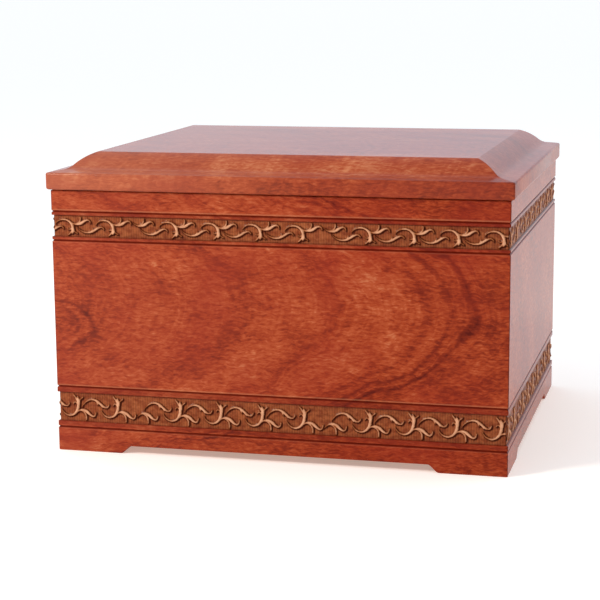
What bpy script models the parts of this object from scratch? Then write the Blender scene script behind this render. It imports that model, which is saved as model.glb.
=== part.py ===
# Wooden cremation urn box: four mitred boards carved with two scroll bands,
# a bottom panel held in their grooves and a moulded lid that lifts off.
# Metres, +Z up, the front faces -Y, the origin is on the floor under the middle.

import math

import bmesh
import bpy
from mathutils import Vector

# Body, measured outside
BODY_WIDTH = 0.250
BODY_DEPTH = 0.212
BODY_HEIGHT = 0.1453
BOARD_THICKNESS = 0.019
PIECE_GAP = 0.0003

# Feet, left standing by the shallow arch cut in the foot of each board
FOOT_LENGTH = 0.0362
ARCH_HEIGHT = 0.0043
ARCH_SLOPE = 0.0064
ARCH_STEPS = 6

# Bottom panel, slid into a groove round the inside of the boards
PANEL_THICKNESS = 0.009
PANEL_UNDERSIDE = 0.008
PANEL_TONGUE = 0.006

# Lid: a slab edge, a sloping ledge, a hollow cove and a long round up to the flat top
LID_OVERHANG = 0.002
LID_EDGE = 0.0093
LID_ROUND_UNDER = 0.0012
LID_ARRIS = 0.0010
LEDGE_WIDTH = 0.0073
LEDGE_RISE = 0.0010
COVE_RADIUS = 0.0080
CREST_RISE = 0.0087
STEEPEST = math.radians(45)
LEDGE_ANGLE = math.atan2(LEDGE_RISE, LEDGE_WIDTH)
CREST_ANGLE = math.radians(18)
LOCATING_DEPTH = 0.003
LOCATING_CLEARANCE = 0.0005

# Carved bands: the sunk ground, the scrolls' margin inside it and the V grooves outside it.
# The pattern of the upper band is the lower one's, turned over.
GROUND_DEPTH = 0.0010
GROOVE_WIDTH = 0.0013
LOWER_GROUND_RISE = 0.0167
UPPER_GROUND_DROP = 0.0136
LOWER_BAND = {
    "name": "lower",
    "ground_height": 0.0165,
    "scroll_margin": 0.0015,
    "groove_offset": 0.0032,
    "turned": 1,
}
UPPER_BAND = {
    "name": "upper",
    "ground_height": 0.0118,
    "scroll_margin": 0.00105,
    "groove_offset": 0.0020,
    "turned": -1,
}

# Scroll pattern along a band: groups of scrolls, a pitch apart
SCROLL_PITCH = 0.0232
SCROLL_END_GAP = 0.0006
SCROLLS_IN_GROUP = 4
GROUP_PERIOD = 0.1056
FRONT_PHASE = -0.0535
SIDE_PHASE = -0.0420
MILLIMETRE = 0.001

# Strokes of one scroll. A path is a chain of Bezier points, as millimetres along the band from the
# crown's foot and shares of the pattern's height. Widths in millimetres are evenly spaced along it,
# and steps are the straight runs that each cubic of the chain is cut into.
CRESCENT = {
    "path": [(-10.3, -0.10), (-8.7, -0.43), (-2.7, -0.50), (-0.8, -0.08), (-0.15, 0.10), (0.25, 0.24), (-0.6, 0.41)],
    "widths": [0.0, 1.2, 1.7, 2.1, 2.3, 1.9, 0.0],
    "steps": [3, 1],
}
CROWN_ARM = {
    "path": [(-0.8, 0.04), (-1.1, 0.26), (-1.8, 0.38), (-3.2, 0.50)],
    "widths": [1.2, 0.0],
    "steps": [1],
}
LEAF = {
    "path": [(-2.3, -0.31), (0.4, -0.06), (3.2, -0.06), (5.2, -0.21), (7.2, -0.36), (9.4, -0.48), (9.9, -0.17)],
    "widths": [0.0, 1.3, 2.0, 1.4, 0.0],
    "steps": [2, 2],
}
ARC = {
    "path": [(1.6, 0.00), (4.6, 0.37), (8.6, 0.42), (11.6, 0.24), (14.0, 0.09), (16.5, -0.12), (17.7, 0.17)],
    "widths": [0.0, 1.1, 1.7, 1.5, 0.0],
    "steps": [3, 2],
}

CUT_MARGIN = 0.004
BOX_CORNERS = [(-1, -1), (1, -1), (1, 1), (-1, 1)]


def make_collection(name):
    collection = bpy.data.collections.new(name)
    bpy.context.scene.collection.children.link(collection)
    return collection


def make_material(name, colour, roughness):
    material = bpy.data.materials.new(name)
    material.use_nodes = True
    shader = material.node_tree.nodes["Principled BSDF"]
    shader.inputs["Base Color"].default_value = (*colour, 1.0)
    shader.inputs["Roughness"].default_value = roughness
    shader.inputs["Metallic"].default_value = 0.0
    return material


def add_mesh(name, bm, collection):
    bmesh.ops.recalc_face_normals(bm, faces=bm.faces)
    mesh = bpy.data.meshes.new(name)
    bm.to_mesh(mesh)
    bm.free()
    piece = bpy.data.objects.new(name, mesh)
    collection.objects.link(piece)
    return piece


def add_box(name, low, high, collection):
    bm = bmesh.new()
    bmesh.ops.create_cube(bm, size=1.0)
    size = Vector(high) - Vector(low)
    bmesh.ops.scale(bm, vec=size, verts=bm.verts)
    bmesh.ops.translate(bm, vec=(Vector(low) + Vector(high)) / 2, verts=bm.verts)
    return add_mesh(name, bm, collection)


def add_prism(name, outline, bottom, top, collection):
    """A flat outline in X and Y, drawn as a curve, given its thickness along Z."""
    curve = bpy.data.curves.new(name, "CURVE")
    curve.dimensions = "2D"
    curve.fill_mode = "BOTH"
    curve.extrude = (top - bottom) / 2
    spline = curve.splines.new("POLY")
    spline.points.add(len(outline) - 1)
    for point, (x, y) in zip(spline.points, outline):
        point.co = (x, y, 0.0, 1.0)
    spline.use_cyclic_u = True
    drawn = bpy.data.objects.new(name + "_outline", curve)
    collection.objects.link(drawn)
    evaluated = drawn.evaluated_get(bpy.context.evaluated_depsgraph_get())
    mesh = bpy.data.meshes.new_from_object(evaluated)
    bpy.data.objects.remove(drawn)
    bm = bmesh.new()
    bm.from_mesh(mesh)
    bpy.data.meshes.remove(mesh)
    bmesh.ops.remove_doubles(bm, verts=bm.verts, dist=0.00001)
    bmesh.ops.translate(bm, vec=(0, 0, (top + bottom) / 2), verts=bm.verts)
    return add_mesh(name, bm, collection)


def cut(piece, cutter, operation="DIFFERENCE", overlapping=False):
    """Cut a piece by a hidden cutter, or with INTERSECT keep only what lies inside the cutter."""
    cutter.hide_render = True
    cutter.display_type = "WIRE"
    boolean = piece.modifiers.new("cut_" + cutter.name, "BOOLEAN")
    boolean.operation = operation
    boolean.solver = "EXACT"
    boolean.use_self = overlapping
    boolean.object = cutter


def bezier_point(path, share):
    """Point at a share of the length of a chain of cubic Beziers that share their ends."""
    cubics = (len(path) - 1) // 3
    index = min(int(share * cubics), cubics - 1)
    points = [Vector(point) for point in path[3 * index:3 * index + 4]]
    t = share * cubics - index
    while len(points) > 1:
        points = [a.lerp(b, t) for a, b in zip(points, points[1:])]
    return points[0]


def width_at(widths, share):
    place = share * (len(widths) - 1)
    index = min(int(place), len(widths) - 2)
    return widths[index] + (widths[index + 1] - widths[index]) * (place - index)


def stroke_outline(stroke, pattern_height):
    """Outline of one tapered stroke about the crown's foot, in metres along and across the band."""
    path = [(x * MILLIMETRE, share * pattern_height) for x, share in stroke["path"]]
    shares = [0.0]
    for index, steps in enumerate(stroke["steps"]):
        shares += [(index + step / steps) / len(stroke["steps"]) for step in range(1, steps + 1)]
    left, right = [], []
    for share in shares:
        ahead = bezier_point(path, min(share + 0.01, 1.0))
        behind = bezier_point(path, max(share - 0.01, 0.0))
        across = (ahead - behind).normalized().orthogonal()
        half_width = width_at(stroke["widths"], share) * MILLIMETRE / 2
        middle = bezier_point(path, share)
        left.append(middle + across * half_width)
        if half_width > 0:
            right.append(middle - across * half_width)
    return left + right[::-1]


def scroll_places(phase, scroll_reach):
    """Strokes enough to fill the band, each with its place along it."""
    reach = scroll_reach + SCROLL_PITCH
    first_group = math.floor((-reach - phase) / GROUP_PERIOD)
    last_group = math.ceil((reach - phase) / GROUP_PERIOD)
    places = []
    for group in range(first_group, last_group + 1):
        start = phase - SCROLL_PITCH + group * GROUP_PERIOD
        for scroll in range(SCROLLS_IN_GROUP + 1):
            x = start + scroll * SCROLL_PITCH
            places.append((LEAF, x))
            if scroll < SCROLLS_IN_GROUP:
                places.append((ARC, x))
            if scroll > 0:
                places += [(CRESCENT, x), (CROWN_ARM, x)]
    return places


def add_scrolls(name, phase, scroll_reach, ground_bottom, band):
    """Prisms of all strokes on one band, going right through the sunk ground."""
    pattern_height = band["ground_height"] - 2 * band["scroll_margin"]
    middle = ground_bottom + band["ground_height"] / 2
    bm = bmesh.new()
    for stroke, x in scroll_places(phase, scroll_reach):
        outline = stroke_outline(stroke, pattern_height)
        if min(abs(x + point.x) for point in outline) > scroll_reach:
            continue
        corners = [bm.verts.new((x + p.x, -CUT_MARGIN, middle + band["turned"] * p.y)) for p in outline]
        face = bm.faces.new(corners)
        extruded = bmesh.ops.extrude_face_region(bm, geom=[face])
        moved = [item for item in extruded["geom"] if isinstance(item, bmesh.types.BMVert)]
        bmesh.ops.translate(bm, vec=(0, 2 * CUT_MARGIN, 0), verts=moved)
    return add_mesh(name, bm, cutters)


def cut_band(board, phase, board_length, ground_bottom, band):
    """Sink the band's ground round its scrolls and run a V groove along each side of it."""
    name = board.name + "_" + band["name"]
    reach = board_length / 2 + CUT_MARGIN
    ground_top = ground_bottom + band["ground_height"]
    ground = add_box(
        name + "_ground",
        (-reach, -CUT_MARGIN / 2, ground_bottom),
        (reach, GROUND_DEPTH, ground_top),
        cutters,
    )
    # The mitre leaves no ground under the last of the face, so the scrolls stop short of it.
    scroll_reach = board_length / 2 - GROUND_DEPTH - SCROLL_END_GAP
    scrolls = add_scrolls(name + "_scrolls", phase, scroll_reach, ground_bottom, band)
    span = add_box(
        name + "_span",
        (-scroll_reach, -2 * CUT_MARGIN, ground_bottom - CUT_MARGIN),
        (scroll_reach, 2 * CUT_MARGIN, ground_top + CUT_MARGIN),
        cutters,
    )
    cut(scrolls, span, operation="INTERSECT", overlapping=True)
    cut(ground, scrolls)
    cut(board, ground)
    half_edge = GROOVE_WIDTH / math.sqrt(8)
    for z in (ground_bottom - band["groove_offset"], ground_top + band["groove_offset"]):
        groove = add_box(name + "_groove", (-reach, -half_edge, -half_edge), (reach, half_edge, half_edge), cutters)
        groove.rotation_euler.x = math.radians(45)
        groove.location.z = z
        groove.parent = board.parent
        cut(board, groove)
    for cutter in (ground, scrolls, span):
        cutter.parent = board.parent


def arch_outline(board_length):
    """The arch between the feet, its ends curved like an S."""
    inner_end = board_length / 2 - FOOT_LENGTH
    rise = []
    for step in range(ARCH_STEPS + 1):
        share = step / ARCH_STEPS
        height = ARCH_HEIGHT * (1 - math.cos(math.pi * share)) / 2
        rise.append((inner_end - ARCH_SLOPE * share, height))
    half = [(inner_end, -CUT_MARGIN)] + rise
    return half + [(-x, z) for x, z in reversed(half)]


def build_board(name, board_length, distance, turn, phase, material):
    """One mitred board, drawn with its outer face on y = 0, then stood on its side of the box."""
    side = bpy.data.objects.new(name + "_side", None)
    parts.objects.link(side)
    side.rotation_euler.z = math.radians(turn)
    side.location = side.rotation_euler.to_matrix() @ Vector((0, -distance, 0))
    mitre_gap = PIECE_GAP / math.sqrt(2)
    outer = board_length / 2 - mitre_gap
    inner = outer - BOARD_THICKNESS
    plan = [(-outer, 0), (outer, 0), (inner, BOARD_THICKNESS), (-inner, BOARD_THICKNESS)]
    board = add_prism(name, plan, 0, BODY_HEIGHT, parts)
    board.parent = side
    board.data.materials.append(material)

    arch = add_prism(name + "_arch", arch_outline(board_length), -BOARD_THICKNESS * 1.5, BOARD_THICKNESS * 0.5, cutters)
    arch.rotation_euler.x = math.radians(90)
    arch.parent = side
    cut(board, arch)

    panel_groove = add_box(
        name + "_panel_groove",
        (-board_length, BOARD_THICKNESS - PANEL_TONGUE - PIECE_GAP, PANEL_UNDERSIDE - PIECE_GAP),
        (board_length, BOARD_THICKNESS + CUT_MARGIN, PANEL_UNDERSIDE + PANEL_THICKNESS + PIECE_GAP),
        cutters,
    )
    panel_groove.parent = side
    cut(board, panel_groove)

    upper_ground_bottom = BODY_HEIGHT - UPPER_GROUND_DROP - UPPER_BAND["ground_height"]
    cut_band(board, phase, board_length, LOWER_GROUND_RISE, LOWER_BAND)
    cut_band(board, phase, board_length, upper_ground_bottom, UPPER_BAND)


def build_bottom_panel(material):
    half_width = BODY_WIDTH / 2 - BOARD_THICKNESS + PANEL_TONGUE
    half_depth = BODY_DEPTH / 2 - BOARD_THICKNESS + PANEL_TONGUE
    low = (-half_width, -half_depth, PANEL_UNDERSIDE)
    high = (half_width, half_depth, PANEL_UNDERSIDE + PANEL_THICKNESS)
    panel = add_box("bottom_panel", low, high, parts)
    panel.data.materials.append(material)


def arc_steps(start, radius, first_slope, last_slope, steps):
    """Points along an arc whose slope turns from one angle to another, as inset and height."""
    points = []
    for step in range(1, steps + 1):
        slope = first_slope + (last_slope - first_slope) * step / steps
        run = radius * abs(math.sin(slope) - math.sin(first_slope))
        rise = radius * abs(math.cos(slope) - math.cos(first_slope))
        points.append((start[0] + run, start[1] + rise))
    return points


def lid_profile():
    """Inset from the slab's edge and height over the seat, from the locating step up to the flat top."""
    locating_inset = LID_OVERHANG + BOARD_THICKNESS + LOCATING_CLEARANCE
    under, arris = LID_ROUND_UNDER, LID_ARRIS
    profile = [(locating_inset, -LOCATING_DEPTH), (locating_inset, 0.0)]
    profile += [(under, 0.0), (under * 0.3, under * 0.3), (0.0, under)]
    profile += [(0.0, LID_EDGE - arris), (arris, LID_EDGE)]
    ledge_end = (LEDGE_WIDTH, LID_EDGE + LEDGE_RISE)
    cove = arc_steps(ledge_end, COVE_RADIUS, LEDGE_ANGLE, STEEPEST, 4)
    crest_climb = CREST_RISE - (cove[-1][1] - ledge_end[1])
    crest_radius = crest_climb / (math.cos(CREST_ANGLE) - math.cos(STEEPEST))
    crest = arc_steps(cove[-1], crest_radius, STEEPEST, CREST_ANGLE, 5)
    return profile + [ledge_end] + cove + crest


def build_lid(material):
    bm = bmesh.new()
    seat = BODY_HEIGHT + PIECE_GAP
    rings = []
    for inset, height in lid_profile():
        half_width = BODY_WIDTH / 2 + LID_OVERHANG - inset
        half_depth = BODY_DEPTH / 2 + LID_OVERHANG - inset
        ring = [bm.verts.new((x * half_width, y * half_depth, seat + height)) for x, y in BOX_CORNERS]
        rings.append(ring)
    for lower, upper in zip(rings, rings[1:]):
        for corner in range(4):
            bm.faces.new((lower[corner - 1], lower[corner], upper[corner], upper[corner - 1]))
    bm.faces.new(rings[0])
    bm.faces.new(rings[-1])
    lid = add_mesh("lid", bm, parts)
    lid.data.materials.append(material)


for old in list(bpy.data.objects):
    bpy.data.objects.remove(old, do_unlink=True)

parts = make_collection("cremation_urn_box")
cutters = make_collection("cutters")

for board_name, length, distance_out, turn_degrees, pattern_phase, stain in (
    ("front_board", BODY_WIDTH, BODY_DEPTH / 2, 0, FRONT_PHASE, (0.42, 0.07, 0.02)),
    ("right_board", BODY_DEPTH, BODY_WIDTH / 2, 90, SIDE_PHASE, (0.40, 0.07, 0.025)),
    ("back_board", BODY_WIDTH, BODY_DEPTH / 2, 180, FRONT_PHASE, (0.41, 0.07, 0.022)),
    ("left_board", BODY_DEPTH, BODY_WIDTH / 2, 270, SIDE_PHASE, (0.40, 0.065, 0.02)),
):
    wood = make_material(board_name + "_cherry", stain, 0.35)
    build_board(board_name, length, distance_out, turn_degrees, pattern_phase, wood)

build_bottom_panel(make_material("bottom_panel_plywood", (0.45, 0.25, 0.12), 0.6))
build_lid(make_material("lid_cherry", (0.42, 0.08, 0.03), 0.3))
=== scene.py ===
import math

import bmesh
import bpy
from mathutils import Matrix, Vector


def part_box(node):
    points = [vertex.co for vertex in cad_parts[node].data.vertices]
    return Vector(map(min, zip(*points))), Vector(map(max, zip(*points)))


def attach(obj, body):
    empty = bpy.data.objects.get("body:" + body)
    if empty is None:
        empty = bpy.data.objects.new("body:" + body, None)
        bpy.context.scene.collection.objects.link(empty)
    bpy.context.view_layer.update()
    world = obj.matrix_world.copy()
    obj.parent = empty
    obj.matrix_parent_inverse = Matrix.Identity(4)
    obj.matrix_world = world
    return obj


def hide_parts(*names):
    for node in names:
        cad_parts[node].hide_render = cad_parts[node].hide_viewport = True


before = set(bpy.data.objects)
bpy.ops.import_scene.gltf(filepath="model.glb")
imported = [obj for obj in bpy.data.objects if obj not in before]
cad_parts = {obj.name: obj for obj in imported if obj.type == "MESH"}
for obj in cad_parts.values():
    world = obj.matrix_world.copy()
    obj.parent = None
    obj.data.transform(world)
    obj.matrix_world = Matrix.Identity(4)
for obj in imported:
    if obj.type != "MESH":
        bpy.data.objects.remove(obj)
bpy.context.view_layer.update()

mm = 0.001

# The box's main sizes, read from the CAD frame
frontLow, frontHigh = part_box("front_board")
rightLow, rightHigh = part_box("right_board")
panelLow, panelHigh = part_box("bottom_panel")
lidLow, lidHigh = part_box("lid")
boardThickness = frontHigh.y - frontLow.y
boardHeight = frontHigh.z - frontLow.z
bodyWidth = 2 * rightHigh.x
bodyDepth = -2 * frontLow.y
mitreGap = bodyWidth / 2 - frontHigh.x


def linear(hexColour):
    values = [int(hexColour[i:i + 2], 16) / 255 for i in (1, 3, 5)]
    return [v / 12.92 if v <= 0.04045 else ((v + 0.055) / 1.055) ** 2.4 for v in values] + [1.0]


# Adds one node: values go to its sockets in order, or by name or number, and keywords are its settings.
# A colour Mix node has its share at socket 0 and its two colours at 6 and 7.
def addNode(tree, kind, values=(), stops=(), **settings):
    node = tree.nodes.new(kind)
    for name, value in settings.items():
        setattr(node, name, value)
    for socket, value in values.items() if isinstance(values, dict) else enumerate(values):
        if isinstance(value, bpy.types.Node):
            value = next(output for output in value.outputs if output.enabled)
        if isinstance(value, bpy.types.NodeSocket):
            tree.links.new(value, node.inputs[socket])
        else:
            node.inputs[socket].default_value = value
    for index, (place, colour) in enumerate(stops):
        elements = node.color_ramp.elements
        element = elements[index] if index < len(elements) else elements.new(place)
        element.position = place
        element.color = linear(colour) if isinstance(colour, str) else (colour, colour, colour, 1.0)
    return node


# Materials

cherryStain = {
    "darkest": "#541003",
    "dark": "#7A240C",
    "middle": "#983817",
    "light": "#AC4E2A",
    "lightest": "#C67A52",
    "redCast": "#8E2616",
    "redShare": 0.40,
    "redPatch": 48.0,       # mm
    "fibreAcross": 0.55,    # mm, drawn a little coarser than cherry's own so that it shows
    "fibreAlong": 3.6,      # mm
    "fibreWeight": 0.38,
    "streakAcross": 1.2,    # mm, short wavy streaks of stain
    "streakAlong": 6.5,     # mm
    "streakWeight": 0.46,
    "blotch": 17.0,         # mm, cherry takes stain unevenly
    "mottle": 2.2,          # mm
    "mottleWeight": 0.30,
    "sway": 26.0,           # mm, how far apart the figure's wanderings are
    "swayReach": (15, 13, 13),      # mm
    "waver": 7.0,           # mm, the same for the fibre's
    "waverReach": (0.0, 3.4, 3.4),  # mm
    "ringFade": 14.0,       # mm, patches in which the rings are faint or bold
    "faintest": 0.45,
    "boldest": 1.12,
    "fineRingScale": 0.35,
    "fineRingWeight": 0.16,
    "roughness": 0.36,
    "fibreRoughness": 0.2,
    "specular": 0.02,
    "poreDepth": 0.05 * mm,
    "poreStrength": 0.35,
    "coat": 0.58,
    "coatRoughness": 0.14,
    "coatIor": 1.22,
}

# Where the growth rings arch: each heart's height on the board in millimetres and how open its arches
# are, then the tone of the wood at places along its field. 0.5 leaves the wood as it is, and less is a
# darker ring.
frontHearts = [
    {"height": 86, "openness": 0.026, "rings": {
        -70: 0.50, -42: 0.54, -26: 0.48, -16: 0.39, -9: 0.48, 6: 0.57, 24: 0.56, 34: 0.43, 42: 0.55,
        62: 0.60, 76: 0.55, 83: 0.42, 88: 0.54, 92: 0.51, 97: 0.31, 100: 0.47, 104: 0.45, 108: 0.20,
        112: 0.44, 119: 0.38, 126: 0.45, 150: 0.40, 190: 0.46,
    }},
    {"height": 69, "openness": 0.12, "rings": {
        -128: 0.42, -118: 0.52, -113: 0.38, -110: 0.53, -105: 0.52, -101: 0.22, -97: 0.44, -90: 0.50,
    }},
]
sideHearts = [
    {"height": 40, "openness": 0.006, "rings": {-90: 0.55, -30: 0.42, 0: 0.56, 35: 0.44, 80: 0.54}},
]
backHearts = [
    {"height": 70, "openness": 0.022, "rings": {
        -110: 0.50, -84: 0.28, -76: 0.52, -40: 0.56, -22: 0.38, -12: 0.54, 16: 0.30, 24: 0.50, 52: 0.56,
        70: 0.22, 78: 0.48, 92: 0.34, 110: 0.50, 180: 0.42,
    }},
]
lidHearts = [
    {"height": -60, "openness": 0.004, "rings": {
        -130: 0.56, -112: 0.40, -100: 0.56, -84: 0.42, -70: 0.52, -20: 0.54, 20: 0.47, 60: 0.54, 110: 0.45,
    }},
    {"height": -8, "openness": 0.060, "rings": {
        0: 0.50, 240: 0.48, 420: 0.63, 600: 0.65, 700: 0.60, 780: 0.46, 900: 0.44,
    }},
]

pressedBand = {
    "ground": "#96562F",
    "groundDark": "#74391C",
    "boardShowing": 0.22,   # share of the board's own colour that shows through the ground
    # Dark outline round the strokes: glaze round their feet and painted shadow on their lower right
    "glazeAndShade": "#380D03",
    "glazeAndShadowStart": 0.06,     # how much glaze and painted shadow lie where the outline starts to show and where it covers
    "glazeAndShadowFull": 0.50,
    "glazeAndShadowCover": 0.96,
    # Darker strips, and painted shade in the grooves and along the ground's walls
    "darkStripAndShade": "#5C1408",
    "scroll": "#94542F",
    # Stroke tops: rubbed bright, with a painted highlight
    "scrollBright": "#D69F7C",
    "brightStart": 0.86,    # height on a stroke, with its mottle, from which it is rubbed bright and painted with a highlight
    "brightFull": 1.27,
    # Groove lips: rubbed-through stain and a painted highlight
    "rubbedAndHighlitLip": "#C98A62",
    "dullStart": 0.40,
    "dullFull": 0.96,
    "coat": 0.05,
}


# Tone of the flat-sawn wood: arched rings, and noises for fibre, streaks, blotches and mottle
def layFigure(tree, place, hearts, cloud):
    stain = cherryStain
    # The place in the figure, swayed by one noise, as millimetres along and across
    drift = addNode(
        tree, "ShaderNodeTexNoise", {"Vector": place, "Scale": 1 / stain["sway"], "Detail": 3.0},
    ).outputs["Color"]
    drift = addNode(tree, "ShaderNodeVectorMath", (drift, (0.5,) * 3), operation="SUBTRACT")
    swayed = addNode(
        tree, "ShaderNodeVectorMath", (drift, stain["swayReach"], place), operation="MULTIPLY_ADD",
    )
    split = addNode(tree, "ShaderNodeSeparateXYZ", (swayed,)).outputs
    across = addNode(tree, "ShaderNodeMath", (split["Y"], split["Z"]), operation="ADD")
    fade = addNode(
        tree, "ShaderNodeTexNoise", {"Vector": place, "Scale": 1 / stain["ringFade"], "Detail": 2.0},
    )
    fade = addNode(tree, "ShaderNodeMapRange", (fade, 0.35, 0.62, stain["faintest"], stain["boldest"]))
    tone = 0.5
    fields = []
    for heart in hearts:
        off = addNode(tree, "ShaderNodeMath", (across, heart["height"]), operation="SUBTRACT")
        off = addNode(tree, "ShaderNodeMath", (off, off), operation="MULTIPLY")
        arch = (off, heart["openness"], split["X"])
        field = addNode(tree, "ShaderNodeMath", arch, operation="MULTIPLY_ADD")
        fields.append(field)
        first, last = min(heart["rings"]), max(heart["rings"])
        share = addNode(tree, "ShaderNodeMapRange", (field, first, last, 0.0, 1.0))
        ringStops = [((x - first) / (last - first), value) for x, value in heart["rings"].items()]
        rings = addNode(tree, "ShaderNodeValToRGB", (share,), stops=ringStops)
        rings = addNode(tree, "ShaderNodeMath", (rings, 0.5), operation="SUBTRACT")
        tone = addNode(tree, "ShaderNodeMath", (rings, fade, tone), operation="MULTIPLY_ADD")
    fineRings = addNode(
        tree, "ShaderNodeTexNoise", {"W": fields[0], "Scale": stain["fineRingScale"], "Detail": 2.0},
        noise_dimensions="1D",
    )

    # Fibre and stain, stretched along the grain and wavering a little
    waver = addNode(
        tree, "ShaderNodeTexNoise", {"Vector": place, "Scale": 1 / stain["waver"], "Detail": 2.0},
    ).outputs["Color"]
    waver = addNode(
        tree, "ShaderNodeVectorMath", (waver, stain["waverReach"], place), operation="MULTIPLY_ADD",
    )
    layers = [(fineRings, stain["fineRingWeight"])]
    for acrossSize, alongSize, start, detail, weight in (
        (stain["fibreAcross"], stain["fibreAlong"], 0, 3.0, stain["fibreWeight"]),
        (stain["streakAcross"], stain["streakAlong"], 31, 2.0, stain["streakWeight"]),
        (stain["blotch"], 1.8 * stain["blotch"], 7, 4.0, cloud),
        (stain["mottle"], 1.5 * stain["mottle"], 17, 3.0, stain["mottleWeight"]),
    ):
        stretch = (1 / alongSize, 1 / acrossSize, 1 / acrossSize)
        squeezed = addNode(
            tree, "ShaderNodeVectorMath", (waver, stretch, (start,) * 3), operation="MULTIPLY_ADD",
        )
        layer = addNode(tree, "ShaderNodeTexNoise", {"Vector": squeezed, "Scale": 1.0, "Detail": detail})
        layers.append((layer, weight))
    for layer, weight in layers:
        centred = addNode(tree, "ShaderNodeMath", (layer, 0.5), operation="SUBTRACT")
        tone = addNode(tree, "ShaderNodeMath", (centred, weight, tone), operation="MULTIPLY_ADD")
    return tone, layers[1][0], layers[2][0], layers[4][0]


# The bands' colour over the board's, from the attributes that the carving leaves, and the coat's weight:
# glaze and painted shadow round the strokes, painted highlights on their tops and on the groove lips,
# painted shade in the grooves
def glazeAndShadeBand(tree, colour, mottle):
    band = pressedBand
    ground, scroll, foot, glazeAndShade = (
        addNode(tree, "ShaderNodeAttribute", attribute_name=attribute).outputs["Fac"]
        for attribute in ("bandGround", "scrollHeight", "scrollFoot", "glazeAndShade")
    )
    mottled = addNode(tree, "ShaderNodeMapRange", (mottle, 0.36, 0.64, 0.0, 1.0))
    brown = {0: mottled, 6: linear(band["groundDark"]), 7: linear(band["ground"])}
    groundColour = addNode(tree, "ShaderNodeMix", brown, data_type="RGBA")
    showing = {0: band["boardShowing"], 6: groundColour, 7: colour}
    groundColour = addNode(tree, "ShaderNodeMix", showing, data_type="RGBA")
    # Dark outline: glaze round the strokes' feet, painted shadow on their lower right and painted shade in
    # the tool marks
    cover = (foot, band["glazeAndShadowStart"], band["glazeAndShadowFull"], 0.0, band["glazeAndShadowCover"])
    outline = addNode(tree, "ShaderNodeMapRange", cover)
    shadedOutline = {0: outline, 6: groundColour, 7: linear(band["glazeAndShade"])}
    groundColour = addNode(tree, "ShaderNodeMix", shadedOutline, data_type="RGBA")
    # Stroke tops rubbed bright, with a painted highlight that grows with height
    rubbedAndHighlit = addNode(tree, "ShaderNodeMath", (mottle, 0.5, scroll), operation="MULTIPLY_ADD")
    brightening = (rubbedAndHighlit, band["brightStart"], band["brightFull"], 0.0, 1.0)
    rubbedAndHighlit = addNode(tree, "ShaderNodeMapRange", brightening)
    tan = {0: rubbedAndHighlit, 6: linear(band["scroll"]), 7: linear(band["scrollBright"])}
    scrollColour = addNode(tree, "ShaderNodeMix", tan, data_type="RGBA")
    raised = addNode(tree, "ShaderNodeMapRange", (scroll, 0.34, 0.66, 0.0, 1.0))
    onScroll = {0: raised, 6: groundColour, 7: scrollColour}
    bandColour = addNode(tree, "ShaderNodeMix", onScroll, data_type="RGBA")
    colour = addNode(tree, "ShaderNodeMix", {0: ground, 6: colour, 7: bandColour}, data_type="RGBA")
    # Darker strips, and painted shade in the grooves and at the foot of the ground's walls
    stripAndShade = {0: glazeAndShade, 6: colour, 7: linear(band["darkStripAndShade"])}
    colour = addNode(tree, "ShaderNodeMix", stripAndShade, data_type="RGBA")
    # Painted highlight on the groove lips over rubbed-through stain
    lip = addNode(tree, "ShaderNodeMapRange", (glazeAndShade, -1.0, 0.0, 1.0, 0.0))
    highlitLip = {0: lip, 6: colour, 7: linear(band["rubbedAndHighlitLip"])}
    colour = addNode(tree, "ShaderNodeMix", highlitLip, data_type="RGBA")
    # Where the dark glaze and painted shade lie thick it is dull
    thick = addNode(tree, "ShaderNodeMath", (outline, glazeAndShade), operation="MAXIMUM")
    dulling = (thick, band["dullStart"], band["dullFull"], cherryStain["coat"], band["coat"])
    coat = addNode(tree, "ShaderNodeMapRange", dulling)
    return colour, coat


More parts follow.
